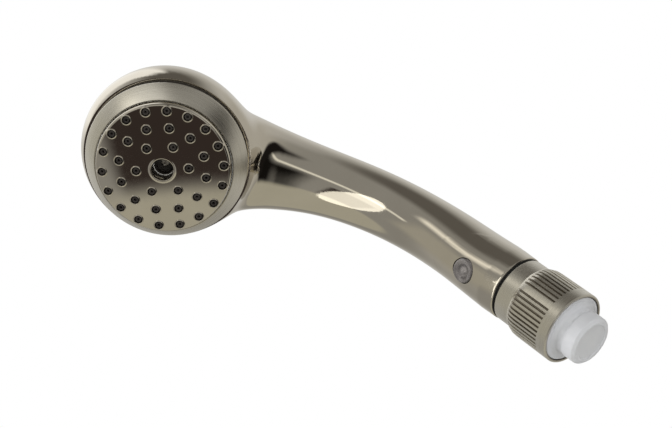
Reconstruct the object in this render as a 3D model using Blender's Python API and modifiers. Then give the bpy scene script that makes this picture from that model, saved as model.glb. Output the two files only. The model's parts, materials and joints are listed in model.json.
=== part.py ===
"""Handheld shower head: a telephone-shaped handset with a swivelling hose collar.

The handle's end stands on the origin and rises along +Z. The handle arches forward, to -Y, and
carries a round head whose spray face looks forward and down. X = 0 is the plane of symmetry.
Lengths below are in millimetres and angles in degrees; MM turns them into metres.
"""
import math

import bmesh
import bpy
from mathutils import Matrix, Vector
from mathutils.geometry import interpolate_bezier

MM = 0.001
COLLECTION = "handheld_shower_head"

# Head, in a frame at the spray plate's centre whose Z is the spray direction
FACE_CENTRE = (0.0, -107.0, 125.0)
FACE_TILT = 42.0            # how far the spray direction points below the horizontal
PLATE_RADIUS = 30.3
PLATE_DOME_RADIUS = 260.0
PLATE_THICKNESS = 1.0
LIP_HEIGHT = -14.0          # front edge of the shell
LEDGE_HEIGHT = -19.2        # seat of the chamber's seal, inside the shell
CAVITY_RADIUS = 34.4
LEDGE_RADIUS = 29.0
NOZZLE_RINGS = ((6, 11.75, 22.3), (12, 19.6, 7.3), (18, 27.2, 2.3))   # count, radius, first angle
NOZZLE_HOLE_RADIUS = 2.25
NOZZLE_RADIUS = 1.75
NOZZLE_BORE_RADIUS = 0.55
WELL_RADIUS = 4.9

# Handle: knots of its centreline as (y, z), each with its two handles
SPINE_KNOTS = (
    ((0.0, -10.0), (0.0, 0.0), (0.0, 10.0)),
    ((0.0, 17.0), (0.0, 27.0), (0.0, 69.0)),
    ((-12.8, 94.8), (-47.0, 119.0), (-63.3, 130.6)),
    ((-70.0, 137.0), (-85.0, 138.0), (-90.0, 138.5)),
)
# Distance along the centreline, half width across X and half depth in the plane of symmetry
HANDLE_SECTIONS = ((0.0, 15.2, 15.2), (1.2, 15.7, 15.8), (8.0, 15.4, 16.6), (19.0, 14.6, 17.2),
                   (38.0, 14.4, 16.0), (57.0, 14.4, 14.9), (87.0, 14.7, 14.8), (109.0, 15.7, 15.6),
                   (123.0, 17.4, 16.6), (135.0, 19.6, 17.6), (147.0, 21.5, 17.6),
                   (162.0, 18.0, 14.0), (177.0, 12.0, 8.0))
HANDLE_BORE_RADIUS = 12.6
BULKHEAD_START = 115.0      # distance along the centreline
BULKHEAD_END = 123.0
NECK_CAVITY_END = 157.0
TUBE_RADIUS = 5.0
TUBE_WALL = 1.5
TUBE_START = 30.0
TUBE_END = 121.0
SEAL_POCKET_RADIUS = 7.1
SEAL_POCKET_DEPTH = 3.0

# Button, in a frame on the handle's front whose Z points out of the handle
BUTTON_PLACE = (0.0, -17.2, 19.0)
BUTTON_HOLE_RADIUS = 5.9

# Swivel
COLLAR_MOUTH = -34.5
NIPPLE_END = -42.5
THREAD_RADIUS = 10.48       # G 1/2 outside thread
CLIP_RADIUS = 8.1
CLIP_SPAN = 300.0
CLIP_STEPS = 20
FLUTE_GROUPS = 4
FLUTES_IN_GROUP = 11
FLUTE_PITCH = 7.5
FLUTE_WIDTH = 1.1
FLUTE_FLOOR_RADIUS = 15.9
FLUTE_LENGTH = 18.0
FLUTE_MIDDLE = -20.0
LAND_ANGLE = 36.0           # the first smooth land between flutes, from the front towards +X

# Name: colour, roughness, metallic
FINISHES = {
    "polished_nickel": ((0.60, 0.56, 0.49), 0.10, 1.0),
    "satin_nickel": ((0.50, 0.47, 0.41), 0.38, 1.0),
    "stainless": ((0.55, 0.54, 0.52), 0.25, 1.0),
    "brass": ((0.72, 0.52, 0.22), 0.30, 1.0),
    "black_rubber": ((0.015, 0.014, 0.013), 0.55, 0.0),
    "black_plastic": ((0.03, 0.03, 0.03), 0.40, 0.0),
    "white_plastic": ((0.75, 0.75, 0.73), 0.40, 0.0),
    "smoke_plastic": ((0.28, 0.28, 0.27), 0.15, 0.0),
    "milky_cap": ((0.78, 0.79, 0.82), 0.35, 0.0),
}


# ---------------------------------------------------------------- tools

def clear_scene():
    for thing in list(bpy.data.objects):
        bpy.data.objects.remove(thing, do_unlink=True)


def new_collection(name):
    group = bpy.data.collections.new(name)
    bpy.context.scene.collection.children.link(group)
    return group


def make_materials():
    """One Principled material for each finish."""
    made = {}
    for name, (colour, roughness, metallic) in FINISHES.items():
        material = bpy.data.materials.new(name)
        material.use_nodes = True
        shader = material.node_tree.nodes["Principled BSDF"]
        shader.inputs["Base Color"].default_value = (*colour, 1.0)
        shader.inputs["Roughness"].default_value = roughness
        shader.inputs["Metallic"].default_value = metallic
        made[name] = material
    return made


class Workshop:
    """Where new objects go: the part's collection, the cutters' collection and the materials."""

    def __init__(self):
        self.parts = new_collection(COLLECTION)
        self.cutters = new_collection("cutters")
        self.materials = make_materials()

    def add(self, name, data, finish=None, frame=None):
        """Put data into a new object: a part if it has a finish, else a cutter."""
        thing = bpy.data.objects.new(name, data)
        if finish:
            self.parts.objects.link(thing)
            data.materials.append(self.materials[finish])
        else:
            self.cutters.objects.link(thing)
            thing.hide_render = True
            thing.display_type = "WIRE"
        thing.parent = frame
        return thing

    def frame(self, name, place, tilt):
        """An empty at place, in millimetres, whose local Z is world Z tilted about X."""
        empty = bpy.data.objects.new(name, None)
        self.cutters.objects.link(empty)
        empty.matrix_world = Matrix.Translation(Vector(place) * MM) @ Matrix.Rotation(
            math.radians(tilt), 4, "X")
        return empty


def smooth(mesh, angle=35.0):
    mesh.shade_smooth()
    mesh.set_sharp_from_angle(angle=math.radians(angle))


def turned(shop, name, outline, finish=None, frame=None, steps=24, closed=True):
    """A solid of revolution about local Z. The outline is (radius, height) in millimetres,
    clockwise: it runs down the outer side. A closed outline is a ring, an open one meets the axis."""
    mesh = bpy.data.meshes.new(name)
    count = len(outline)
    edges = [(i, i + 1) for i in range(count - 1)]
    if closed:
        edges.append((count - 1, 0))
    mesh.from_pydata([(r * MM, 0.0, z * MM) for r, z in outline], edges, [])
    thing = shop.add(name, mesh, finish, frame)
    screw = thing.modifiers.new("Turn", "SCREW")
    screw.axis = "Z"
    screw.angle = math.tau
    screw.steps = steps
    screw.render_steps = steps
    screw.use_merge_vertices = True
    screw.merge_threshold = 1e-6
    screw.use_smooth_shade = True
    return thing


def rod(bm, radius, low, high, place=(0.0, 0.0), sides=20, turn=None):
    """Add an upright cylinder to bm, in millimetres; turn is a matrix applied afterwards."""
    matrix = Matrix.Translation(Vector((place[0], place[1], (low + high) / 2)) * MM)
    if turn is not None:
        matrix = turn @ matrix
    bmesh.ops.create_cone(bm, cap_ends=True, segments=sides, radius1=radius * MM,
                          radius2=radius * MM, depth=(high - low) * MM, matrix=matrix)


def rods(shop, name, specs, frame=None, sides=20):
    """A cutter of separate upright cylinders: specs are (radius, low, high, (x, y))."""
    bm = bmesh.new()
    for radius, low, high, place in specs:
        rod(bm, radius, low, high, place, sides)
    mesh = bpy.data.meshes.new(name)
    bm.to_mesh(mesh)
    bm.free()
    smooth(mesh)
    return shop.add(name, mesh, None, frame)


def block(shop, name, size, place, turn, frame=None):
    """A box-shaped cutter of this size about place, both in millimetres, turned about local Z."""
    bm = bmesh.new()
    matrix = Matrix.Rotation(math.radians(turn), 4, "Z") @ Matrix.Translation(Vector(place) * MM)
    bmesh.ops.create_cube(bm, size=1.0, matrix=matrix @ Matrix.Diagonal((*(Vector(size) * MM), 1.0)))
    mesh = bpy.data.meshes.new(name)
    bm.to_mesh(mesh)
    bm.free()
    return shop.add(name, mesh, None, frame)


def boolean(target, operation, tool):
    """Cut target with tool, or join them. The tool stays as a wire-drawn guide."""
    modifier = target.modifiers.new(operation.title(), "BOOLEAN")
    modifier.operation = operation
    modifier.object = tool


def tube(shop, name, points, radii, finish=None, frame=None, sides=24):
    """A tube mesh through points in millimetres, with a radius for each point."""
    curve = bpy.data.curves.new(name + "_path", "CURVE")
    curve.dimensions = "3D"
    curve.bevel_depth = MM
    curve.bevel_resolution = sides // 2 - 2
    curve.use_fill_caps = True
    spline = curve.splines.new("POLY")
    spline.points.add(len(points) - 1)
    for knot, point, radius in zip(spline.points, points, radii):
        knot.co = (*(Vector(point) * MM), 1.0)
        knot.radius = radius
    guide = bpy.data.objects.new(name + "_path", curve)
    shop.cutters.objects.link(guide)
    bpy.context.view_layer.update()
    evaluated = guide.evaluated_get(bpy.context.evaluated_depsgraph_get())
    mesh = bpy.data.meshes.new_from_object(evaluated)
    bpy.data.objects.remove(guide, do_unlink=True)
    bm = bmesh.new()
    bm.from_mesh(mesh)
    bmesh.ops.remove_doubles(bm, verts=bm.verts, dist=1e-6)
    bm.to_mesh(mesh)
    bm.free()
    mesh.materials.clear()
    smooth(mesh)
    return shop.add(name, mesh, finish, frame)


def coil(shop, name, radius, wire, low, high, turns, finish, frame=None):
    """A round wire spring about local Z."""
    steps = int(turns * 8)
    points = []
    for i in range(steps + 1):
        share = i / steps
        angle = math.tau * turns * share
        points.append((radius * math.cos(angle), radius * math.sin(angle), low + (high - low) * share))
    return tube(shop, name, points, [wire] * len(points), finish, frame, sides=6)


def o_ring(shop, name, radius, wire, height, frame=None, steps=18):
    """A rubber ring about local Z, turned from a round section."""
    section = [(radius + wire * math.cos(a), height + wire * math.sin(a))
               for a in [-math.tau * i / 6 for i in range(6)]]
    return turned(shop, name, section, "black_rubber", frame, steps)


def spine_points():
    """The handle's centreline as [distance, (x, y, z)], about every 2 mm."""
    points = []
    for (_, start, leave), (arrive, end, _) in zip(SPINE_KNOTS, SPINE_KNOTS[1:]):
        knots = [Vector((0.0, y, z)) for y, z in (start, leave, arrive, end)]
        run = interpolate_bezier(*knots, 40)
        points += run if not points else run[1:]
    measured = [(0.0, points[0])]
    for before, after in zip(points, points[1:]):
        measured.append((measured[-1][0] + (after - before).length, after))
    return measured


def spine_at(distance):
    """The point on the handle's centreline at this distance from its end."""
    points = spine_points()
    if distance <= 0.0:
        return Vector((0.0, 0.0, distance))
    for (near, start), (far, end) in zip(points, points[1:]):
        if distance <= far:
            return start.lerp(end, (distance - near) / (far - near))
    return points[-1][1]


def along_spine(start, end, step=8.0):
    count = max(2, round((end - start) / step))
    return [start + (end - start) * i / count for i in range(count + 1)]


def handle_section(distance):
    """The handle's half width and half depth here, eased between the rows of HANDLE_SECTIONS."""
    for (near, *before), (far, *after) in zip(HANDLE_SECTIONS, HANDLE_SECTIONS[1:]):
        if distance <= far:
            share = (distance - near) / (far - near)
            share = share * share * (3.0 - 2.0 * share)
            return [a + (b - a) * share for a, b in zip(before, after)]
    return HANDLE_SECTIONS[-1][1:]


def handle_loft(shop, name, sides=24):
    """The handle's outer form: oval rings square to the centreline, joined and capped."""
    last = HANDLE_SECTIONS[-1][0]
    stations = [0.0, 1.2] + along_spine(5.0, last, 8.5)
    bm = bmesh.new()
    rings = []
    for distance in stations:
        centre = spine_at(distance)
        tangent = (spine_at(distance + 0.5) - spine_at(distance - 0.5)).normalized()
        if distance == last:
            tangent = (spine_at(last) - spine_at(last - 0.5)).normalized()
        across = Vector((0.0, tangent.z, -tangent.y))
        width, depth = handle_section(distance)
        ring = []
        for i in range(sides):
            angle = math.tau * i / sides
            point = centre + Vector((width * math.cos(angle), 0, 0)) + across * depth * math.sin(angle)
            ring.append(bm.verts.new(point * MM))
        rings.append(ring)
    for low, high in zip(rings, rings[1:]):
        for i in range(sides):
            j = (i + 1) % sides
            bm.faces.new((low[i], low[j], high[j], high[i]))
    bm.faces.new(list(reversed(rings[0])))
    bm.faces.new(rings[-1])
    mesh = bpy.data.meshes.new(name)
    bm.to_mesh(mesh)
    bm.free()
    smooth(mesh)
    return shop.add(name, mesh)


def spine_tube(shop, name, start, end, radius, finish=None, sides=20):
    """A tube along the handle's centreline; radius is a number or a function of distance."""
    stations = along_spine(start, end)
    radii = [radius(d) if callable(radius) else radius for d in stations]
    return tube(shop, name, [spine_at(d) for d in stations], radii, finish, None, sides)


def nozzle_places():
    """The (x, y) of each nozzle in the face frame; angles start at the handle's side, -Y."""
    places = []
    for count, radius, first in NOZZLE_RINGS:
        for i in range(count):
            angle = math.radians(first + 360.0 * i / count)
            places.append((radius * math.sin(angle), -radius * math.cos(angle)))
    return places


def dome(radius, depth=0.0):
    """Height of the spray plate's face at this radius, less depth."""
    return -radius * radius / (2.0 * PLATE_DOME_RADIUS) - depth


# ---------------------------------------------------------------- handset shell

def make_handset_body(shop, face, button):
    """Head cup and handle in one shell, hollow, with a bulkhead in the neck and a screw boss."""
    head = [(0.0, LIP_HEIGHT), (36.7, LIP_HEIGHT), (37.3, LIP_HEIGHT - 0.4), (38.3, -16.5),
            (39.0, -19.5), (39.2, -23.0), (38.7, -27.0), (37.0, -32.0), (33.5, -37.0),
            (27.5, -41.5), (18.0, -44.8), (0.0, -46.5)]
    body = turned(shop, "handset_body", head, "polished_nickel", face, steps=36, closed=False)
    boolean(body, "UNION", handle_loft(shop, "handle_form", 18))

    cavity = [(0.0, LIP_HEIGHT + 1.0), (CAVITY_RADIUS, LIP_HEIGHT + 1.0),
              (CAVITY_RADIUS, LEDGE_HEIGHT), (LEDGE_RADIUS, LEDGE_HEIGHT), (LEDGE_RADIUS, -21.7),
              (36.2, -24.5), (34.5, -31.0), (31.0, -35.8), (25.5, -39.6), (17.0, -42.4), (0.0, -43.9)]
    boolean(body, "DIFFERENCE", turned(shop, "head_cavity", cavity, None, face, 28, closed=False))
    boolean(body, "DIFFERENCE",
            spine_tube(shop, "handle_bore", -2.0, BULKHEAD_START, HANDLE_BORE_RADIUS, sides=14))
    boolean(body, "DIFFERENCE",
            spine_tube(shop, "neck_cavity", BULKHEAD_END, NECK_CAVITY_END,
                       lambda d: 12.5 - 5.5 * (d - BULKHEAD_END) / (NECK_CAVITY_END - BULKHEAD_END),
                       sides=14))
    boolean(body, "DIFFERENCE",
            spine_tube(shop, "tube_hole", BULKHEAD_START - 2.0, BULKHEAD_END + 2.0,
                       TUBE_RADIUS + 0.5, sides=12))
    boolean(body, "DIFFERENCE",
            spine_tube(shop, "head_seal_pocket", BULKHEAD_START - 2.0,
                       BULKHEAD_START + SEAL_POCKET_DEPTH, SEAL_POCKET_RADIUS, sides=14))
    boolean(body, "DIFFERENCE",
            rods(shop, "button_hole", [(BUTTON_HOLE_RADIUS, -9.0, 6.0, (0, 0))], button))
    boolean(body, "UNION",
            rods(shop, "screw_boss", [(4.6, -45.0, -18.8, (0, 0))], face, sides=12))
    boolean(body, "DIFFERENCE",
            rods(shop, "screw_hole", [(2.2, -33.0, -16.0, (0, 0))], face, sides=12))


# ---------------------------------------------------------------- spray face

def make_bezel_ring(shop, face):
    outline = [(30.6, -4.5), (31.0, -4.1), (36.5, -12.2), (36.7, -12.9), (33.9, -12.9), (33.9, -18.4),
               (31.9, -18.4), (31.9, -5.5), (30.6, -5.5)]
    turned(shop, "bezel_ring", outline, "satin_nickel", face, steps=40)


def make_spray_plate(shop, face):
    """Domed plate: its edge rolls down to the bezel, and a collar is drawn down round the well."""
    radii = (16.0, 27.0)
    outline = [(WELL_RADIUS, -0.4), (WELL_RADIUS + 0.4, dome(WELL_RADIUS))]
    outline += [(r, dome(r)) for r in radii]
    outline += [(29.2, -1.9), (30.1, -3.0), (PLATE_RADIUS, -5.0), (29.5, -5.0), (29.2, -3.4)]
    outline += [(r, dome(r, PLATE_THICKNESS)) for r in reversed(radii)]
    outline += [(5.7, -1.4), (5.7, -6.0), (WELL_RADIUS, -6.0)]
    plate = turned(shop, "spray_plate", outline, "polished_nickel", face, steps=30)
    holes = [(NOZZLE_HOLE_RADIUS, -6.0, 2.0, place) for place in nozzle_places()]
    boolean(plate, "DIFFERENCE", rods(shop, "nozzle_holes", holes, face, sides=6))


def make_nozzle_mat(shop, face):
    """Silicone mat: a disc under the plate with a nozzle standing in each hole of the plate."""
    depth = PLATE_THICKNESS + 0.4
    outline = [(6.2, dome(6.2, depth)), (16.0, dome(16.0, depth)), (27.0, dome(27.0, depth)),
               (28.4, -3.7), (28.4, -5.4), (6.2, -5.4)]
    mat = turned(shop, "nozzle_mat", outline, "black_rubber", face, steps=20)
    places = nozzle_places()
    nozzles = [(NOZZLE_RADIUS, -4.4, dome(math.hypot(*place), 0.15), place) for place in places]
    bores = [(NOZZLE_BORE_RADIUS, -7.0, 2.0, place) for place in places]
    boolean(mat, "UNION", rods(shop, "nozzle_forms", nozzles, face, sides=6))
    boolean(mat, "DIFFERENCE", rods(shop, "nozzle_bores", bores, face, sides=4))


def make_diffuser_plate(shop, face):
    """Cup behind the mat: floor with water inlets, rim under the mat, hub for the screw."""
    outline = [(4.6, -6.4), (8.0, -6.4), (8.0, -10.3), (29.4, -10.3), (29.4, -5.8), (31.5, -5.8),
               (31.5, -16.5), (29.4, -16.5), (29.4, -12.4), (8.0, -12.4), (8.0, -18.4), (2.4, -18.4),
               (2.4, -12.4), (4.6, -12.4)]
    plate = turned(shop, "diffuser_plate", outline, "white_plastic", face, steps=24)
    inlets = []
    for i in range(6):
        angle = math.tau * i / 6
        inlets.append((2.0, -13.0, -9.0, (17.0 * math.cos(angle), 17.0 * math.sin(angle))))
    boolean(plate, "DIFFERENCE", rods(shop, "diffuser_inlets", inlets, face, sides=6))


def make_face_fixings(shop, face):
    """Seals of the face, and the screw that holds it, with a cross slot in its head."""
    seal = [(34.3, -13.2), (36.4, -13.2), (36.4, -13.7), (34.3, -13.7)]
    turned(shop, "face_seal", seal, "black_rubber", face, steps=28)
    o_ring(shop, "chamber_o_ring", 30.3, 1.05, -17.85, face, steps=24)
    outline = [(0.0, -9.6), (2.6, -9.6), (3.7, -10.3), (3.7, -11.4), (1.9, -11.4), (1.9, -29.5),
               (1.4, -30.5), (0.0, -30.5)]
    screw = turned(shop, "centre_screw", outline, "stainless", face, steps=12, closed=False)
    for turn in (0.0, 90.0):
        slot = block(shop, "cross_slot", (3.6, 0.8, 2.0), (0, 0, -9.6), turn, face)
        boolean(screw, "DIFFERENCE", slot)
    washer = [(2.3, -11.7), (3.8, -11.7), (3.8, -12.1), (2.3, -12.1)]
    turned(shop, "screw_seal", washer, "black_rubber", face, steps=16)


# ---------------------------------------------------------------- water way in the handle

def make_water_tube(shop):
    pipe = spine_tube(shop, "water_tube", TUBE_START, TUBE_END, TUBE_RADIUS, "white_plastic", 12)
    bore = spine_tube(shop, "water_tube_bore", TUBE_START - 1.0, TUBE_END + 1.0,
                      TUBE_RADIUS - TUBE_WALL, None, 12)
    boolean(pipe, "DIFFERENCE", bore)
    before = spine_at(BULKHEAD_START)
    centre = spine_at(BULKHEAD_START + SEAL_POCKET_DEPTH / 2)
    lean = math.degrees(math.atan2(before.y - centre.y, centre.z - before.z))
    seat = shop.frame("head_seal_frame", centre, lean)
    o_ring(shop, "tube_head_seal", 6.05, 0.75, 0.0, seat)
    o_ring(shop, "tube_base_seal", 6.05, 0.75, 33.6)


def make_valve(shop, button):
    """Valve block in the handle: a water passage crossed by the button's spool."""
    outline = [(7.1, 35.0), (11.3, 35.0), (11.3, 10.0), (4.0, 10.0), (4.0, 15.0), (1.6, 15.0),
               (1.6, 23.0), (4.0, 23.0), (4.0, 29.0), (5.4, 29.0), (5.4, 32.4), (7.1, 32.4)]
    valve = turned(shop, "valve_body", outline, "black_plastic", steps=20)
    boolean(valve, "DIFFERENCE",
            rods(shop, "spool_bore", [(3.9, -27.5, -9.0, (0, 0))], button, sides=14))
    boolean(valve, "DIFFERENCE",
            rods(shop, "button_pocket", [(7.0, -10.6, 2.0, (0, 0))], button, sides=14))
    coil(shop, "button_spring", 2.5, 0.3, -26.9, -21.9, 3.5, "stainless", button)
    o_ring(shop, "valve_base_seal", 7.0, 0.7, 9.0)


def make_button(shop, button):
    """Round push button with a dished face, its spool and the spool's seal."""
    cap = [(0.0, -1.5), (2.5, -1.3), (4.2, -0.8), (5.0, -0.35), (5.3, -0.3), (5.6, -0.6),
           (5.6, -7.5), (6.6, -7.5), (6.6, -8.3), (0.0, -8.3)]
    turned(shop, "pause_button", cap, "smoke_plastic", button, closed=False)
    spool = [(0.0, -8.6), (3.5, -8.6), (3.5, -11.1), (2.3, -11.1), (2.3, -12.9), (3.5, -12.9),
             (3.5, -15.4), (1.4, -15.4), (1.4, -19.2), (3.5, -19.2), (3.5, -21.4), (0.0, -21.4)]
    turned(shop, "button_spool", spool, "brass", button, steps=16, closed=False)
    o_ring(shop, "spool_seal", 3.1, 0.55, -12.0, button, steps=14)


# ---------------------------------------------------------------- swivel

def make_swivel_post(shop):
    """Post fixed in the handle's end, with two seal grooves and the clip's groove."""
    outline = [(4.2, 9.6), (6.0, 9.6), (6.0, 8.0), (8.0, 8.0), (8.0, 9.6), (11.6, 9.6),
               (11.6, 0.8), (7.9, 0.8), (7.9, -4.0), (6.3, -4.0), (6.3, -6.0), (7.9, -6.0),
               (7.9, -9.0), (6.9, -9.0), (6.9, -11.0), (7.9, -11.0), (7.9, -17.0), (6.3, -17.0),
               (6.3, -19.0), (7.9, -19.0), (7.9, -26.9), (4.2, -26.9)]
    turned(shop, "swivel_post", outline, "brass", steps=20)
    o_ring(shop, "post_o_ring_upper", 7.25, 0.65, -5.0)
    o_ring(shop, "post_o_ring_lower", 7.25, 0.65, -18.0)
    washer = [(8.4, -0.35), (15.0, -0.35), (15.0, -1.2), (8.4, -1.2)]
    turned(shop, "swivel_washer", washer, "black_plastic", steps=32)


def make_swivel_collar(shop):
    """Hand-grip collar: smooth band and shoulder, groups of flutes, smooth band and rim."""
    outline = [(13.4, -1.5), (14.9, -1.5), (15.2, -1.8), (15.2, -9.0), (15.6, -10.0), (16.4, -11.4),
               (16.8, -13.2), (17.1, COLLAR_MOUTH + 0.4), (16.9, COLLAR_MOUTH), (15.7, COLLAR_MOUTH),
               (15.7, -32.3), (14.8, -32.3), (14.8, -28.1), (13.4, -28.1)]
    collar = turned(shop, "swivel_collar", outline, "satin_nickel", steps=36)
    bm = bmesh.new()
    depth = 2.5
    group_angle = 360.0 / FLUTE_GROUPS
    size = Matrix.Diagonal((depth * MM, FLUTE_WIDTH * MM, FLUTE_LENGTH * MM, 1.0))
    centre = Vector((FLUTE_FLOOR_RADIUS + depth / 2, 0.0, FLUTE_MIDDLE)) * MM
    for group in range(FLUTE_GROUPS):
        for flute in range(FLUTES_IN_GROUP):
            share = flute - (FLUTES_IN_GROUP - 1) / 2
            angle = LAND_ANGLE - 90.0 + group_angle * (group + 0.5) + share * FLUTE_PITCH
            turn = Matrix.Rotation(math.radians(angle), 4, "Z")
            bmesh.ops.create_cube(bm, size=1.0, matrix=turn @ Matrix.Translation(centre) @ size)
    mesh = bpy.data.meshes.new("flutes")
    bm.to_mesh(mesh)
    bm.free()
    boolean(collar, "DIFFERENCE", shop.add("flutes", mesh))


def make_inlet_nipple(shop):
    """Hose nipple inside the collar; its plain end stands for a G 1/2 outside thread."""
    outline = [(8.3, -1.6), (13.1, -1.6), (13.1, -27.5), (THREAD_RADIUS, -27.5),
               (THREAD_RADIUS, NIPPLE_END + 0.8), (9.6, NIPPLE_END), (7.6, NIPPLE_END),
               (7.6, -29.5), (6.2, -29.5), (6.2, -27.9), (8.3, -27.9), (8.3, -11.0), (9.2, -11.0),
               (9.2, -9.0), (8.3, -9.0)]
    turned(shop, "inlet_nipple", outline, "brass", steps=20)


def make_retaining_clip(shop):
    """Open snap ring, half in the post's groove and half in the nipple's."""
    points = []
    for i in range(CLIP_STEPS + 1):
        angle = math.radians(CLIP_SPAN * (i / CLIP_STEPS - 0.2))
        points.append((CLIP_RADIUS * math.sin(angle), -CLIP_RADIUS * math.cos(angle), -10.0))
    tube(shop, "retaining_clip", points, [0.65] * len(points), "stainless", sides=6)


def make_check_valve(shop):
    """Spring-loaded valve in the nipple: housing with a spoked guide, poppet and spring."""
    housing = [(5.8, -29.9), (7.3, -29.9), (7.3, -39.3), (3.4, -39.3), (3.4, -38.1), (5.8, -38.1)]
    valve = turned(shop, "check_valve_body", housing, "white_plastic")
    for turn in (0.0, 120.0, 240.0):
        boolean(valve, "UNION", block(shop, "spoke", (5.0, 1.2, 1.4), (3.9, 0, -30.9), turn))
    hub = turned(shop, "hub", [(1.4, -30.1), (2.4, -30.1), (2.4, -31.7), (1.4, -31.7)], steps=12)
    boolean(valve, "UNION", hub)
    poppet = [(0.0, -30.5), (1.0, -30.5), (1.0, -36.6), (4.6, -36.8), (4.8, -37.8), (0.0, -37.8)]
    turned(shop, "check_valve_poppet", poppet, "black_plastic", steps=16, closed=False)
    coil(shop, "check_valve_spring", 1.9, 0.2, -36.2, -32.1, 4.0, "stainless")


def make_inlet_trim(shop):
    """Flow restrictor and inlet screen in the nipple's mouth."""
    turned(shop, "flow_restrictor", [(1.8, -39.7), (7.3, -39.7), (7.3, -40.7), (1.8, -40.7)],
           "smoke_plastic")
    screen = turned(shop, "inlet_screen", [(0.0, -41.1), (7.3, -41.1), (7.3, -41.8), (0.0, -41.8)],
                    "stainless", steps=20, closed=False)
    holes = [(1.2, -43.0, -40.0, (0, 0))]
    for i in range(6):
        angle = math.tau * i / 6
        holes.append((1.2, -43.0, -40.0, (4.2 * math.cos(angle), 4.2 * math.sin(angle))))
    boolean(screen, "DIFFERENCE", rods(shop, "screen_holes", holes, sides=6))


def make_thread_cap(shop):
    """Soft cap over the hose thread: flange in the collar's mouth, neck and beaded closed end."""
    outline = [(0.0, -44.8), (10.8, -44.8), (10.8, -32.7), (15.3, -32.7), (15.3, -34.1), (13.0, -34.5),
               (11.8, -35.6), (11.3, -37.6), (11.3, -38.9), (11.6, -39.3), (11.6, -43.9),
               (11.0, -45.1), (9.6, -45.8), (0.0, -45.6)]
    turned(shop, "thread_cap", outline, "milky_cap", steps=24, closed=False)


def main():
    clear_scene()
    shop = Workshop()
    face = shop.frame("face_frame", FACE_CENTRE, 90.0 + FACE_TILT)
    button = shop.frame("button_frame", BUTTON_PLACE, 90.0)
    make_handset_body(shop, face, button)
    make_bezel_ring(shop, face)
    make_spray_plate(shop, face)
    make_nozzle_mat(shop, face)
    make_diffuser_plate(shop, face)
    make_face_fixings(shop, face)
    make_water_tube(shop)
    make_valve(shop, button)
    make_button(shop, button)
    make_swivel_post(shop)
    make_swivel_collar(shop)
    make_inlet_nipple(shop)
    make_retaining_clip(shop)
    make_check_valve(shop)
    make_inlet_trim(shop)
    make_thread_cap(shop)


main()
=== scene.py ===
"""Looks of a handheld shower head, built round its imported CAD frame.

The outer pieces are modelled again at full detail in the places that the frame gives, and the inner
pieces keep their CAD meshes. Lengths are in millimetres until a mesh is made; MM makes them metres.
"""
import json
import math

import bmesh
import bpy
import numpy as np
from mathutils import Matrix, Vector
from mathutils.geometry import interpolate_bezier


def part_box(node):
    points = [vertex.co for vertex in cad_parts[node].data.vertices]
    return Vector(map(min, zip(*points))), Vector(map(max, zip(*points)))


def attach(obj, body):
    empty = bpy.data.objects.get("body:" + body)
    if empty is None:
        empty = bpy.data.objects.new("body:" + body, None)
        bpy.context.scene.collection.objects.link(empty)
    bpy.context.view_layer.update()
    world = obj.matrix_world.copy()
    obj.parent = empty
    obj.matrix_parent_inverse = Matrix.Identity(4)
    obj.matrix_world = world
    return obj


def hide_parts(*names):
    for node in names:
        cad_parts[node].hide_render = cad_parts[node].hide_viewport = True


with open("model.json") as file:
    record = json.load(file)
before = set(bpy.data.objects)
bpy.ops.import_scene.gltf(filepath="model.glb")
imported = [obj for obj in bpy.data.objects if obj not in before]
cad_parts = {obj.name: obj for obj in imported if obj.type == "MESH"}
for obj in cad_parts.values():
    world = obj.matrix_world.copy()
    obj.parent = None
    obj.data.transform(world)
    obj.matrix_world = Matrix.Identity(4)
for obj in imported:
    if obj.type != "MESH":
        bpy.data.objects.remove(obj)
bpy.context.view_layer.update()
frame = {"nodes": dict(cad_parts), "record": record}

MM = 0.001

# Face, in a frame at the spray plate's centre whose Z is the spray direction
BEZEL_FRONT = 4.1           # the bezel's front edge is this far behind the spray plate's centre
PLATE_RADIUS = 30.3
PLATE_DOME_RADIUS = 260.0
NOZZLE_RINGS = ((6, 11.75, 22.3), (12, 19.6, 7.3), (18, 27.2, 2.3))   # count, radius, first angle
HOLE_RADIUS = 1.72
NOZZLE_RADIUS = 1.5
WELL_RADIUS = 4.9
LIP_HEIGHT = -14.0

# Head shell: half of its outline as (radius, height) in the face frame, carried on past the lip
HEAD_OUTLINE = ((31.0, -6.0), (34.8, -10.0), (37.1, -14.0), (38.4, -17.3), (39.1, -21.0), (39.0, -25.0),
                (37.9, -29.8), (35.4, -34.9), (31.3, -39.3), (25.0, -42.9), (17.0, -45.2), (8.0, -46.3),
                (0.0, -46.6))
HEAD_LEAN = 1.3             # the back of the shell stands this far from the handle
LEAN_LENGTH = 8.0           # how quickly that lean sets in behind the lip
FACE_CUT = ((0.0, 12.0), (60.0, 12.0), (60.0, -4.0), (38.6, -14.75), (34.6, -14.75), (34.6, -19.2),
            (29.0, -19.2), (29.0, -31.0), (26.0, -36.5), (19.0, -41.0), (4.6, -43.9), (4.6, -18.8),
            (2.2, -18.8), (2.2, -33.0), (0.0, -33.0))

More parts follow.
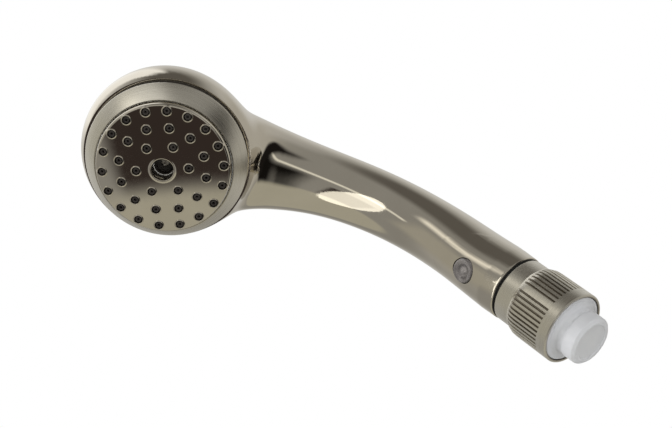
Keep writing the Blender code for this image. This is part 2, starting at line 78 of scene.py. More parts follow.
# Handle: its centreline's knots as (y, z), each with its two handles, and its oval sections
SPINE_KNOTS = (
    ((0.0, -10.0), (0.0, 0.0), (0.0, 10.0)),
    ((0.0, 17.0), (0.0, 27.0), (0.0, 69.0)),
    ((-12.8, 94.8), (-47.0, 119.0), (-63.3, 130.6)),
    ((-70.0, 137.0), (-85.0, 138.0), (-90.0, 138.5)),
)
HANDLE_SECTIONS = ((-10.0, 14.9, 14.9), (0.0, 15.5, 15.5), (8.0, 15.45, 16.6), (19.0, 14.8, 17.0),
                   (38.0, 14.4, 15.9), (57.0, 14.4, 14.9), (87.0, 14.7, 14.8), (109.0, 15.7, 15.6),
                   (123.0, 17.4, 16.6), (135.0, 19.6, 17.6), (147.0, 21.2, 17.6),
                   (162.0, 18.0, 14.0), (177.0, 12.0, 8.0))
BORE_STEPS = ((-4.0, 12.0), (115.0, 12.0), (115.2, 5.5), (122.8, 5.5), (123.0, 12.5), (157.0, 7.0))
END_CUT = ((0.0, 3.0), (12.0, 3.0), (12.0, 0.0, 0.4), (15.35, 0.0, 0.5), (16.4, 3.2), (30.0, 3.2),
           (30.0, -20.0), (0.0, -20.0))
NECK_FILLET = (10.0, 20.0)  # how wide the head melts into the handle, at the front and elsewhere
NECK_CREASE = (8.0, 19.0)   # the front's narrow fillet widens between these distances from the middle
NECK_BACK = (-32.0, -42.0)  # and between these heights in the face frame
SHELL_VOXEL = 0.8
ON_SURFACE = 0.02           # a shell point this near to the field's surface takes its normal

# Button
BUTTON_SINK = 0.3           # its frame stands this far in front of its CAD solid
BUTTON_HOLE_RADIUS = 5.85

# Collar
COLLAR_TOP = -1.5
COLLAR_MOUTH = -34.5
FLUTE_GROUPS = 4
FLUTES_IN_GROUP = 11
FLUTE_PITCH = 7.5
FLUTE_HALF_WIDTH = 0.52
FLUTE_FLOOR = 15.75
FLUTE_TOP = -10.2
FLUTE_BOTTOM = -28.4
LAND_ANGLE = 36.0

# Hose thread
THREAD_RADIUS = 10.48
THREAD_HALF_DEPTH = 0.58
THREAD_PITCH = 25.4 / 14
THREAD_TOP = -28.2
NIPPLE_END = -42.5

# Camera: its right and up in the world, and where it sees the spray plate's centre
CAMERA_RIGHT = Vector((0.3025, 0.6925, -0.6549))
CAMERA_UP = Vector((0.8697, 0.0806, 0.4869))
CAMERA_DISTANCE = 1000.0
CAMERA_AIM = (-76.27, 19.32)
CAMERA_LENS = 122.03
FLOOR_HEIGHT = -0.72


# ---------------------------------------------------------------- meshes

def frame_of_ring(node, front):
    """Frame of a turned CAD node: on its axis, front in front of its foremost point, Z outwards."""
    points = np.array([v.co for v in frame["nodes"][node].data.vertices])
    centre = points.mean(0)
    axis = np.linalg.eigh(np.cov((points - centre).T))[1][:, 0]
    if axis[1] > 0:
        axis = -axis
    reach = ((points - centre) @ axis).max() + front * MM
    z = Vector(axis)
    x = Vector((1.0, 0.0, 0.0))
    turn = Matrix((x, z.cross(x), z)).transposed().to_4x4()
    return Matrix.Translation(Vector(centre) + z * reach) @ turn


def frame_of_button():
    """Frame just in front of the button's CAD solid, Z out of the handle."""
    low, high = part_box("pause_button")
    middle = Vector((0.0, low.y - BUTTON_SINK * MM, (low.z + high.z) / 2))
    return Matrix.Translation(middle) @ Matrix.Rotation(math.radians(90.0), 4, "X")


def mesh_from(name, points, faces):
    """A mesh from points in millimetres, with its faces made to look outwards."""
    bm = bmesh.new()
    verts = [bm.verts.new(Vector(p) * MM) for p in points]
    for face in faces:
        bm.faces.new([verts[i] for i in face])
    bmesh.ops.recalc_face_normals(bm, faces=bm.faces)
    mesh = bpy.data.meshes.new(name)
    bm.to_mesh(mesh)
    bm.free()
    return mesh


def shade(mesh, angle=40.0):
    mesh.shade_smooth()
    mesh.set_sharp_from_angle(angle=math.radians(angle))


def rounded(outline, arc):
    """The outline's points; a third number at a corner is the radius of its rounding."""
    points = []
    for i, (r, z, *fillet) in enumerate(outline):
        if not fillet:
            points.append(Vector((r, z)))
            continue
        here = Vector((r, z))
        back = (Vector(outline[i - 1][:2]) - here).normalized()
        on = (Vector(outline[(i + 1) % len(outline)][:2]) - here).normalized()
        half = back.angle(on) / 2
        centre = here + (back + on).normalized() * (fillet[0] / math.sin(half))
        reach = fillet[0] / math.tan(half)
        start, end = (here + way * reach - centre for way in (back, on))
        points += [centre + start.slerp(end, k / arc).normalized() * fillet[0] for k in range(arc + 1)]
    return points


def lathe(name, outline, steps=144, closed=True, arc=5, matrix=None):
    """A mesh of revolution about Z. An open outline starts and ends on the axis."""
    rows = rounded(outline, arc)
    points, rings = [], []
    for row in rows:
        if row.x < 1e-6:
            rings.append([len(points)] * steps)
            points.append((0.0, 0.0, row.y))
            continue
        rings.append(list(range(len(points), len(points) + steps)))
        for i in range(steps):
            angle = math.tau * i / steps
            points.append((row.x * math.cos(angle), row.x * math.sin(angle), row.y))
    if closed:
        rings.append(rings[0])
    faces = []
    for high, low in zip(rings, rings[1:]):
        for i in range(steps):
            j = (i + 1) % steps
            corners = list(dict.fromkeys((high[i], high[j], low[j], low[i])))
            if len(corners) > 2:
                faces.append(corners)
    if matrix is not None:
        points = [matrix @ Vector(p) for p in points]
    mesh = mesh_from(name, points, faces)
    shade(mesh)
    return mesh


def join(name, meshes):
    """One mesh of several closed meshes."""
    bm = bmesh.new()
    for mesh in meshes:
        bm.from_mesh(mesh)
    joined = bpy.data.meshes.new(name)
    bm.to_mesh(joined)
    bm.free()
    return joined


def in_mm(place):
    made = place.copy()
    made.translation = place.translation / MM
    return made


def combine(mesh, operation, tool):
    """mesh cut by tool or joined with it, as a new mesh."""
    things = [bpy.data.objects.new("work", m) for m in (mesh, tool)]
    for thing in things:
        bpy.context.scene.collection.objects.link(thing)
    modifier = things[0].modifiers.new("work", "BOOLEAN")
    modifier.operation = operation
    modifier.object = things[1]
    bpy.context.view_layer.update()
    evaluated = things[0].evaluated_get(bpy.context.evaluated_depsgraph_get())
    result = bpy.data.meshes.new_from_object(evaluated)
    result.name = mesh.name
    for thing in things:
        bpy.data.objects.remove(thing)
    return result


def set_normals(mesh, on_surface, normals):
    """Give each face whose corners all lie on a known surface that surface's exact normals."""
    count = len(mesh.loops)
    corners = np.zeros(count, int)
    mesh.loops.foreach_get("vertex_index", corners)
    plain = np.zeros(count * 3)
    mesh.corner_normals.foreach_get("vector", plain)
    plain = plain.reshape(-1, 3)
    starts = np.zeros(len(mesh.polygons), int)
    mesh.polygons.foreach_get("loop_start", starts)
    lies = np.logical_and.reduceat(on_surface[corners], starts)
    lengths = np.diff(np.append(starts, count))
    chosen = np.repeat(lies, lengths)
    plain[chosen] = normals[corners[chosen]]
    mesh.normals_split_custom_set(plain)


def vertices_of(mesh):
    """The mesh's points, in millimetres."""
    points = np.zeros(len(mesh.vertices) * 3)
    mesh.vertices.foreach_get("co", points)
    return points.reshape(-1, 3) / MM


def piece(name, mesh, material, body, nodes, place=None):
    """Show mesh as a piece that rides on body and stands for these CAD nodes."""
    thing = bpy.data.objects.new(name, mesh)
    bpy.context.scene.collection.objects.link(thing)
    mesh.materials.clear()
    mesh.materials.append(material)
    if place is not None:
        thing.matrix_world = place
    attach(thing, body)
    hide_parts(*nodes)
    return thing


# ---------------------------------------------------------------- shell as a field

class Route:
    """A smooth plane curve that tells how far along it and how far to its side a point lies."""

    def __init__(self, points, start=0.0, step=0.5):
        points = np.array(points, float)
        lengths = np.append(0.0, np.cumsum(np.linalg.norm(np.diff(points, axis=0), axis=1)))
        count = int(lengths[-1] / step) + 1
        even = np.linspace(0.0, lengths[-1], count)
        self.points = np.stack([np.interp(even, lengths, points[:, k]) for k in (0, 1)], 1)
        self.along = even + start
        tangents = np.gradient(self.points, even, axis=0)
        self.tangents = tangents / np.linalg.norm(tangents, axis=1)[:, None]

    def nearest(self, places):
        """Distance along the curve of the sample nearest to each place."""
        gaps = ((places[:, None, :] - self.points[None]) ** 2).sum(2)
        return self.along[gaps.argmin(1)]

    def at(self, along):
        point = np.stack([np.interp(along, self.along, self.points[:, k]) for k in (0, 1)], 1)
        tangent = np.stack([np.interp(along, self.along, self.tangents[:, k]) for k in (0, 1)], 1)
        return point, tangent

    def beside(self, places, along):
        """Distances along and to the right of the curve, from a close guess of the former."""
        for _ in range(3):
            point, tangent = self.at(along)
            along = along + np.clip(((places - point) * tangent).sum(1), -1.0, 1.0)
        point, tangent = self.at(along)
        gap = places - point
        return along, gap[:, 0] * tangent[:, 1] - gap[:, 1] * tangent[:, 0]


def spline_through(xs, ys, at):
    """A natural cubic spline through the points, read at these places."""
    xs, ys = np.array(xs, float), np.array(ys, float)
    widths = np.diff(xs)
    count = len(xs)
    matrix = np.eye(count)
    right = np.zeros(count)
    for i in range(1, count - 1):
        matrix[i, i - 1:i + 2] = widths[i - 1], 2 * (widths[i - 1] + widths[i]), widths[i]
        right[i] = 6 * ((ys[i + 1] - ys[i]) / widths[i] - (ys[i] - ys[i - 1]) / widths[i - 1])
    bends = np.linalg.solve(matrix, right)
    i = np.clip(np.searchsorted(xs, at) - 1, 0, count - 2)
    a, b = xs[i + 1] - at, at - xs[i]
    w = widths[i]
    return ((bends[i] * a ** 3 + bends[i + 1] * b ** 3) / (6 * w)
            + (ys[i] / w - bends[i] * w / 6) * a + (ys[i + 1] / w - bends[i + 1] * w / 6) * b)


def spine_route():
    points = []
    for (_, start, leave), (arrive, end, _) in zip(SPINE_KNOTS, SPINE_KNOTS[1:]):
        knots = [Vector((0.0, y, z)) for y, z in (start, leave, arrive, end)]
        points += [(p.y, p.z) for p in interpolate_bezier(*knots, 200)]
    points = list(dict.fromkeys(points))
    below = [(0.0, z) for z in range(-12, 0)]
    return Route(below + points, start=-12.0)


def outline_route():
    """The head's half outline as a smooth curve, from past the lip to the middle of the back."""
    knots = np.array(HEAD_OUTLINE)
    steps = np.append(0.0, np.cumsum(np.linalg.norm(np.diff(knots, axis=0), axis=1)))
    fine = np.linspace(0.0, steps[-1], 400)
    return Route(np.stack([spline_through(steps, knots[:, k], fine) for k in (0, 1)], 1))


def ease(low, high, value):
    share = np.clip((value - low) / (high - low), 0.0, 1.0)
    return share * share * (3.0 - 2.0 * share)


class Shell:
    """The handset's outer form: a field that is 0 on the surface and grows outwards, in mm."""

    def __init__(self, face):
        self.spine = spine_route()
        self.outline = outline_route()
        turn = np.array(face.to_3x3())
        self.turn, self.centre = turn, np.array(face.translation) / MM
        rows = np.array(HANDLE_SECTIONS)
        fine = self.spine.along
        self.width = spline_through(rows[:, 0], rows[:, 1], fine)
        self.depth = spline_through(rows[:, 0], rows[:, 2], fine)

    def in_face(self, points):
        """Radius and height in the face frame, of the shell's own leaning axis."""
        local = (points - self.centre) @ self.turn
        behind = np.clip(LIP_HEIGHT - local[:, 2], 0.0, None)
        lean = HEAD_LEAN * (1.0 - np.exp(-behind / LEAN_LENGTH))
        radius = np.sqrt(local[:, 0] ** 2 + (local[:, 1] - lean) ** 2 + 1e-9)
        return np.stack([radius, local[:, 2]], 1)

    def guesses(self, points):
        return self.spine.nearest(points[:, 1:]), self.outline.nearest(self.in_face(points))

    def field(self, points, guesses):
        along, side = self.spine.beside(points[:, 1:], guesses[0])
        width = np.interp(along, self.spine.along, self.width)
        depth = np.interp(along, self.spine.along, self.depth)
        reach = np.sqrt((points[:, 0] / width) ** 2 + (side / depth) ** 2)
        handle = (reach - 1.0) * np.minimum(width, depth)
        past = along - HANDLE_SECTIONS[-1][0]
        handle = np.maximum(handle, past)
        flat = self.in_face(points)
        _, outside = self.outline.beside(flat, guesses[1])
        head = -outside
        front, elsewhere = NECK_FILLET
        round_side = np.maximum(ease(*NECK_CREASE, np.abs(points[:, 0])), ease(*NECK_BACK, flat[:, 1]))
        reach = front + (elsewhere - front) * round_side
        near = np.clip(reach - np.abs(head - handle), 0.0, None) / reach
        return np.minimum(head, handle) - near ** 3 * reach / 6.0

    def slope(self, points, guesses, step=0.04):
        parts = []
        for k in range(3):
            shift = np.zeros(3)
            shift[k] = step
            parts.append((self.field(points + shift, guesses) - self.field(points - shift, guesses))
                         / (2 * step))
        return np.stack(parts, 1)

    def settle(self, points, rounds=4):
        """Move the points onto the surface, apart from those past the handle's end or the lip."""
        points = points.copy()
        moved = (points[:, 2] > -6.0) & (self.in_face(points)[:, 1] < LIP_HEIGHT + 5.0)
        loose = points[moved]
        for _ in range(rounds):
            guesses = self.guesses(loose)
            slope = self.slope(loose, guesses)
            steep = (slope ** 2).sum(1)
            loose = loose - slope * (self.field(loose, guesses) / steep)[:, None]
        points[moved] = loose
        return points


def sweep(name, shell, stations, width, depth, sides=48):
    """A closed tube along the handle's centreline, oval with these half sizes at each station."""
    points, tangents = shell.spine.at(np.array(stations))
    rows = []
    for (y, z), (ty, tz), w, d in zip(points, tangents, width, depth):
        ring = []
        for i in range(sides):
            angle = math.tau * i / sides
            ring.append((w * math.cos(angle), y + tz * d * math.sin(angle), z - ty * d * math.sin(angle)))
        rows.append(ring)
    flat = [p for ring in rows for p in ring]
    faces = []
    for r in range(len(rows) - 1):
        for i in range(sides):
            j = (i + 1) % sides
            a = r * sides
            faces.append((a + i, a + j, a + sides + j, a + sides + i))
    faces.append(list(range(sides)))
    faces.append([len(flat) - sides + i for i in range(sides)])
    return mesh_from(name, flat, faces)


def remeshed(mesh, voxel):
    thing = bpy.data.objects.new("work", mesh)
    bpy.context.scene.collection.objects.link(thing)
    modifier = thing.modifiers.new("work", "REMESH")
    modifier.mode = "VOXEL"
    modifier.voxel_size = voxel * MM
    bpy.context.view_layer.update()
    result = bpy.data.meshes.new_from_object(
        thing.evaluated_get(bpy.context.evaluated_depsgraph_get()))
    bpy.data.objects.remove(thing)
    return result


def outer_form(shell, face):
    """Head and handle in one closed mesh whose points lie on the shell's surface."""
    stations = np.arange(-8.0, 176.0, 4.0)
    rows = np.array(HANDLE_SECTIONS)
    handle = sweep("handle_form", shell, stations, np.interp(stations, rows[:, 0], rows[:, 1]),
                   np.interp(stations, rows[:, 0], rows[:, 2]))
    head = lathe("head_form", ((0.0, -6.0),) + HEAD_OUTLINE, 96, closed=False, matrix=face)
    body = remeshed(join("form", [handle, head]), SHELL_VOXEL)
    points = shell.settle(vertices_of(body))
    body.vertices.foreach_set("co", (points * MM).ravel())
    return body


def make_handset_body(face, button, material):
    """Head and handle as one flowing shell, then hollowed from the face and from below."""
    shell = Shell(face)
    face = in_mm(face)
    body = outer_form(shell, face)
    body = combine(body, "DIFFERENCE", lathe("face_cut", FACE_CUT, 160, closed=False, matrix=face))
    body = combine(body, "DIFFERENCE", lathe("end_cut", END_CUT, 144, closed=False))
    steps = [s for s, _ in BORE_STEPS]
    stations = steps[:1] + list(np.arange(0.0, steps[1], 5.0)) + steps[1:]
    radii = np.interp(stations, *zip(*BORE_STEPS))
    body = combine(body, "DIFFERENCE", sweep("bore", shell, stations, radii, radii))
    hole = [(0.0, 8.0), (BUTTON_HOLE_RADIUS, 8.0), (BUTTON_HOLE_RADIUS, -9.0), (0.0, -9.0)]
    body = combine(body, "DIFFERENCE", lathe("button_hole", hole, 72, closed=False, matrix=in_mm(button)))

    shade(body)
    points = vertices_of(body)
    guesses = shell.guesses(points)
    slope = shell.slope(points, guesses)
    set_normals(body, np.abs(shell.field(points, guesses)) < ON_SURFACE,
                slope / np.linalg.norm(slope, axis=1)[:, None])
    body.name = "handset_shell"
    return piece("handset_shell", body, material, "handset", ["handset_body"])


# ---------------------------------------------------------------- face

def dome(radius, depth=0.0):
    """Height of the spray plate's face at this radius, less depth."""
    return -radius * radius / (2.0 * PLATE_DOME_RADIUS) - depth


def nozzle_frames():
    """Where each nozzle stands on the plate's face, square to it."""
    frames = []
    for count, radius, first in NOZZLE_RINGS:
        for i in range(count):
            angle = math.radians(first + 360.0 * i / count)
            x, y = radius * math.sin(angle), -radius * math.cos(angle)
            up = Vector((x, y, PLATE_DOME_RADIUS)).normalized()
            turn = Vector((0, 0, 1)).rotation_difference(up).to_matrix().to_4x4()
            frames.append(Matrix.Translation((x, y, dome(radius))) @ turn)
    return frames


def make_spray_plate(face, material):
    """Domed plate with a raised lip round each hole, a rolled edge and a collar in the well."""
    radii = [6.4, 8.0, 10.0, 12.0, 14.0, 16.0, 18.0, 20.0, 22.0, 24.0, 26.0, 27.6, 29.2]
    outline = [(WELL_RADIUS, -5.9), (WELL_RADIUS, -0.7), (5.0, -0.1), (5.25, 0.12), (5.6, 0.12),
               (5.95, -0.02)]
    outline += [(r, dome(r)) for r in radii]
    outline += [(29.6, -1.76), (29.9, -2.05), (30.1, -2.6), (30.23, -3.5), (PLATE_RADIUS, -5.0),
                (29.6, -5.0), (29.3, -3.3), (28.4, -2.7), (20.0, dome(20.0, 1.0)), (5.8, -1.1), (5.8, -5.9)]
    plate = lathe("spray_plate_skin", outline, 180)
    bead = [(0.0, 0.42), (1.5, 0.42), (1.95, 0.42), (2.2, 0.34), (2.36, 0.18), (2.46, -0.02),
            (2.5, -0.5), (0.0, -0.5)]
    hole = [(0.0, 1.0), (2.1, 1.0), (2.02, 0.4), (1.86, 0.25), (HOLE_RADIUS, -0.1), (HOLE_RADIUS, -3.0),
            (0.0, -3.0)]
    places = nozzle_frames()
    beads = join("beads", [lathe("bead", bead, 36, closed=False, matrix=m) for m in places])
    holes = join("holes", [lathe("hole", hole, 36, closed=False, matrix=m) for m in places])
    plate = combine(combine(plate, "UNION", beads), "DIFFERENCE", holes)
    shade(plate, 50.0)
    points = vertices_of(plate)
    radius = np.hypot(points[:, 0], points[:, 1])
    on_dome = (np.abs(points[:, 2] - dome(radius)) < 0.01) & (radius > 6.2) & (radius < 29.3)
    normals = points.copy()
    normals[:, 2] = PLATE_DOME_RADIUS
    set_normals(plate, on_dome, normals / np.linalg.norm(normals, axis=1)[:, None])
    return piece("spray_plate_skin", plate, material, "handset", ["spray_plate"], face)


def make_nozzles(face, material):
    """Rubber mat and its nozzles, whose soft tips stand just inside the plate's lips."""
    mat = lathe("mat", [(6.2, -1.5), (26.8, -2.9), (28.3, -3.8), (28.3, -5.4), (6.2, -5.4)], 72)
    sleeve = lathe("sleeve", [(4.1, -6.05), (4.5, -6.05), (4.5, -12.0), (4.1, -12.0), (4.1, -9.3),
                              (1.8, -9.2), (1.8, -8.8), (4.1, -8.7)], 72)
    tip = [(0.5, -0.35), (0.75, -0.05, 0.15), (1.05, 0.02), (NOZZLE_RADIUS, -0.2, 0.25),
           (NOZZLE_RADIUS, -2.6), (0.5, -2.6)]
    tips = [lathe("tip", tip, 28, arc=3, matrix=m) for m in nozzle_frames()]
    mesh = join("nozzle_mat_soft", [mat, sleeve] + tips)
    shade(mesh, 50.0)
    return piece("nozzle_mat_soft", mesh, material, "handset", ["nozzle_mat"], face)


def make_bezel(face, material):
    outline = [(30.6, -4.7, 0.15), (31.05, -4.25, 0.25), (36.3, -11.9, 0.4), (36.5, -12.45, 0.2),
               (33.9, -12.45), (33.9, -18.4), (31.9, -18.4), (31.9, -5.5), (30.6, -5.5)]
    return piece("bezel_skin", lathe("bezel_skin", outline, 180), material, "handset",
                 ["bezel_ring"], face)


def make_face_seal(face, material):
    outline = [(34.7, -12.55, 0.1), (36.0, -12.55, 0.2), (36.0, -14.65, 0.2), (34.7, -14.65, 0.1)]
    return piece("face_seal_ring", lathe("face_seal_ring", outline, 144, arc=3), material,
                 "handset", ["face_seal"], face)


def make_button(button, material):
    outline = [(0.0, -1.75), (1.2, -1.7), (2.6, -1.4), (3.7, -0.9), (4.3, -0.5), (4.7, -0.25, 0.2),
               (5.1, -0.25, 0.2), (5.42, -0.7, 0.2), (5.42, -7.5), (6.6, -7.5), (6.6, -8.3), (0.0, -8.3)]
    return piece("pause_button_cap", lathe("pause_button_cap", outline, 96, closed=False), material,
                 "button", ["pause_button"], button)


# ---------------------------------------------------------------- swivel

def make_washer(material):
    outline = [(8.4, -0.05), (15.1, -0.05, 0.1), (15.1, -0.4, 0.1), (14.3, -0.5, 0.1), (14.3, -1.4, 0.1),
               (8.4, -1.4)]
    return piece("washer_ring", lathe("washer_ring", outline, 144, arc=3), material, "handset",
                 ["swivel_washer"])


def flute_columns():
    """Angles of the collar's columns in degrees, each with its distance from a flute's middle in mm."""
    offsets = [-1.08, -0.82, -0.66, -0.58, -0.52, -0.4, -0.2, 0.0, 0.2, 0.4, 0.52, 0.58, 0.66, 0.82]
    columns = []
    group_angle = 360.0 / FLUTE_GROUPS
    per_mm = math.degrees(1.0 / 17.0)
    for group in range(FLUTE_GROUPS):
        middle = LAND_ANGLE - 90.0 + group_angle * (group + 0.5)
        for flute in range(FLUTES_IN_GROUP):
            centre = middle + (flute - (FLUTES_IN_GROUP - 1) / 2) * FLUTE_PITCH
            columns += [(centre + o * per_mm, abs(o)) for o in offsets]
        half = FLUTES_IN_GROUP * FLUTE_PITCH / 2
        land = group_angle - 2 * half
        columns += [(middle + half + land * k / 6, 9.0) for k in range(6)]
    return columns


def ring_faces(rows, columns):
    """Faces of a closed grid of points, row after row."""
    faces = []
    for a in range(rows):
        b = (a + 1) % rows
        for i in range(columns):
            j = (i + 1) % columns
            faces.append((a * columns + i, a * columns + j, b * columns + j, b * columns + i))
    return faces


def collar_rows():
    """The collar's profile as (radius, height), with rows added where the flutes begin and end."""
    top = [(13.4, COLLAR_TOP), (15.2, COLLAR_TOP, 0.3), (15.25, -9.4, 1.0), (16.65, -11.5, 1.2),
           (16.9, -15.0)]
    bottom = [(17.1, COLLAR_MOUTH + 0.5, 0.4), (16.85, COLLAR_MOUTH, 0.2), (15.8, COLLAR_MOUTH, 0.15),
              (15.8, -32.3), (14.8, -32.3), (14.8, -28.1), (13.4, -28.1)]
    profile = rounded(top + bottom, 6)
    end = [-0.56, -0.53, -0.45, -0.3, -0.1, 0.1, 0.3]
    heights = [FLUTE_TOP - e for e in end]
    first, last = heights[-1], FLUTE_BOTTOM + 0.5
    heights += [first + (last - first) * k / 8 for k in range(1, 8)]
    heights += [FLUTE_BOTTOM + e for e in reversed(end)]
    outer = [p for p in profile if p.x > 15.0 and (p.y > FLUTE_BOTTOM or p.x > 16.5)]
    outer.sort(key=lambda p: -p.y)
    fluted = [(np.interp(-z, [-p.y for p in outer], [p.x for p in outer]), z) for z in heights]
    plain = [(p.x, p.y) for p in profile
             if p.x <= 15.0 or not FLUTE_BOTTOM - 0.56 < p.y < FLUTE_TOP + 0.56]
    split = next(i for i, (_, z) in enumerate(plain) if z < FLUTE_BOTTOM - 0.5)
    return plain[:split] + fluted + plain[split:]


def make_collar(material):
    """Turned collar with round-ended flutes sunk in its grip."""
    rows, columns = collar_rows(), flute_columns()
    points = []
    for r, z in rows:
        beyond = max(z - FLUTE_TOP, FLUTE_BOTTOM - z, 0.0)
        for angle, offset in columns:
            gap = math.hypot(offset, beyond) / FLUTE_HALF_WIDTH
            if gap < 1.0 and r > FLUTE_FLOOR:
                r_here = min(r, FLUTE_FLOOR + FLUTE_HALF_WIDTH * (1.0 - math.sqrt(1.0 - gap * gap)))
            else:
                r_here = r
            turn = math.radians(angle)
            points.append((r_here * math.cos(turn), r_here * math.sin(turn), z))
    mesh = mesh_from("swivel_collar_skin", points, ring_faces(len(rows), len(columns)))
    shade(mesh, 35.0)
    return piece("swivel_collar_skin", mesh, material, "swivel", ["swivel_collar"])


def thread_lift(z, turn):
    """How far the thread stands up at this height and share of a turn, from 0 to 1."""
    crest = abs((z / THREAD_PITCH + turn) % 1.0 * 2.0 - 1.0)
    run_out = float(min(ease(NIPPLE_END, NIPPLE_END + 1.6, z), ease(THREAD_TOP, THREAD_TOP - 1.2, z)))
    return run_out * (float(ease(0.1, 0.9, crest)) if run_out > 0.99 else crest)


def make_nipple(material):
    """Hose nipple with its real 14-per-inch helical thread."""
    steps = 96
    above = [(8.3, -1.6), (13.1, -1.6, 0.2), (13.1, -27.5, 0.2), (9.7, -27.5)]
    below = [(9.5, NIPPLE_END, 0.2), (7.6, NIPPLE_END, 0.2), (7.6, -29.5), (6.2, -29.5), (6.2, -27.9),
             (8.3, -27.9), (8.3, -11.0), (9.2, -11.0), (9.2, -9.0), (8.3, -9.0)]
    row_gap = THREAD_PITCH / 10
    heights = [THREAD_TOP - k * row_gap for k in range(int((THREAD_TOP - NIPPLE_END) / row_gap))]
    rows = [(p.x, p.y, False) for p in rounded(above, 4)]
    rows += [(THREAD_RADIUS, z, True) for z in heights]
    rows += [(p.x, p.y, False) for p in rounded(below, 4)]
    points = []
    for radius, z, threaded in rows:
        for i in range(steps):
            angle = math.tau * i / steps
            sunk = 2 * THREAD_HALF_DEPTH * (1.0 - thread_lift(z, i / steps)) if threaded else 0.0
            points.append(((radius - sunk) * math.cos(angle), (radius - sunk) * math.sin(angle), z))
    mesh = mesh_from("inlet_nipple_threaded", points, ring_faces(len(rows), steps))
    shade(mesh, 60.0)
    return piece("inlet_nipple_threaded", mesh, material, "swivel", ["inlet_nipple"])


def make_cap(material):
    """Soft closed cap: flange in the collar's mouth, neck, bead and a dished end."""
    outline = [(0.0, -44.7), (10.8, -44.7, 0.5), (10.8, -32.7), (15.55, -32.7, 0.2), (15.55, -34.2, 0.35),
               (13.6, -34.35, 1.5), (11.6, -35.6, 1.6), (11.2, -38.2, 0.6), (11.5, -39.2, 0.6),
               (11.45, -44.5, 0.9), (10.1, -45.85, 0.5), (8.7, -45.85, 0.4), (8.2, -45.35, 0.5),
               (0.0, -45.2)]
    return piece("thread_cap_soft", lathe("thread_cap_soft", outline, 144, closed=False), material,
                 "cap", ["thread_cap"])


# ---------------------------------------------------------------- materials

class Finish:
    """A Principled material with room for procedural detail, on the object's own coordinates."""

    def __init__(self, name, colour, roughness, metallic=0.0, **inputs):
        self.material = bpy.data.materials.new(name)
        self.material.use_nodes = True
        self.tree = self.material.node_tree
        self.shader = self.tree.nodes["Principled BSDF"]
        self.set("Base Color", (*colour, 1.0))
        self.set("Roughness", roughness)
        self.set("Metallic", metallic)
        for key, value in inputs.items():
            self.set(key.replace("_", " "), value)
        self.coordinates = self.node("ShaderNodeTexCoord").outputs["Object"]

    def node(self, kind, **settings):
        made = self.tree.nodes.new(kind)
        for key, value in settings.items():
            setattr(made, key, value)
        return made

    def link(self, source, target):
        self.tree.links.new(source, target)

    def set(self, name, value):
        self.shader.inputs[name].default_value = value

    def noise(self, scale, detail=3.0, coordinates=None):
        made = self.node("ShaderNodeTexNoise")
        made.inputs["Scale"].default_value = scale
        made.inputs["Detail"].default_value = detail
        self.link(coordinates or self.coordinates, made.inputs["Vector"])
        return made.outputs["Fac"]

    def round_axis(self):
        """The coordinates' separate parts, and the distance from local Z."""
        parts = self.node("ShaderNodeSeparateXYZ")
        self.link(self.coordinates, parts.inputs[0])
        flat = self.node("ShaderNodeCombineXYZ")
        self.link(parts.outputs["X"], flat.inputs["X"])
        self.link(parts.outputs["Y"], flat.inputs["Y"])
        radius = self.node("ShaderNodeVectorMath", operation="LENGTH")
        self.link(flat.outputs[0], radius.inputs[0])
        return parts.outputs, radius.outputs["Value"]

    def turned(self, around, across):
        """Coordinates about local Z that hardly change round the axis: for marks left by turning."""
        parts, radius = self.round_axis()
        angle = self.node("ShaderNodeMath", operation="ARCTAN2")
        self.link(parts["Y"], angle.inputs[0])
        self.link(parts["X"], angle.inputs[1])
        made = self.node("ShaderNodeCombineXYZ")
        for source, factor, target in ((angle.outputs[0], around, "X"), (radius, across, "Y"),
                                       (parts["Z"], across, "Z")):
            scaled = self.node("ShaderNodeMath", operation="MULTIPLY")
            scaled.inputs[1].default_value = factor
            self.link(source, scaled.inputs[0])
            self.link(scaled.outputs[0], made.inputs[target])
        return made.outputs[0]

    def spread(self, value, start, end, low=0.0, high=1.0):
        """Spread a value's range from start to end over low to high."""
        made = self.node("ShaderNodeMapRange")
        for name, number in (("From Min", start), ("From Max", end), ("To Min", low), ("To Max", high)):
            made.inputs[name].default_value = number
        self.link(value, made.inputs["Value"])
        return made.outputs["Result"]

    def ramp(self, value, low, high, target):
        """Drive a shader input between two numbers or two colours by a noise, most of it 0.3 to 0.7."""
        if isinstance(low, tuple):
            mix = self.node("ShaderNodeMix", data_type="RGBA")
            mix.inputs["A"].default_value = (*low, 1.0)
            mix.inputs["B"].default_value = (*high, 1.0)
            self.link(self.spread(value, 0.3, 0.7), mix.inputs["Factor"])
            source = mix.outputs["Result"]
        else:
            source = self.spread(value, 0.3, 0.7, low, high)
        self.link(source, self.shader.inputs[target])
        return source

    def painted_shade(self, source, factor, dark, target):
        """Drive a shader input by source, going over to a dark colour where factor is 0: the painted shade.
        """
        mix = self.node("ShaderNodeMix", data_type="RGBA")
        mix.inputs["A"].default_value = (*dark, 1.0)
        self.link(factor, mix.inputs["Factor"])
        self.link(source, mix.inputs["B"])
        self.link(mix.outputs["Result"], self.shader.inputs[target])

    def clear_of_painted_shade(self):
        """Where the painted shade goes: 0 on the floor of the collar's flutes and on its inner walls lower
        than the flutes' top, 1 on everything else, by radius and height.
        """
        parts, radius = self.round_axis()
        most = self.node("ShaderNodeMath", operation="MAXIMUM")
        self.link(self.spread(radius, 15.9 * MM, 16.6 * MM), most.inputs[0])
        self.link(self.spread(parts["Z"], -11.2 * MM, -10.4 * MM), most.inputs[1])
        return most.outputs[0]

    def bump(self, value, strength, distance):
        made = self.node("ShaderNodeBump")
        made.inputs["Strength"].default_value = strength
        made.inputs["Distance"].default_value = distance
        self.link(value, made.inputs["Height"])
        self.link(made.outputs["Normal"], self.shader.inputs["Normal"])


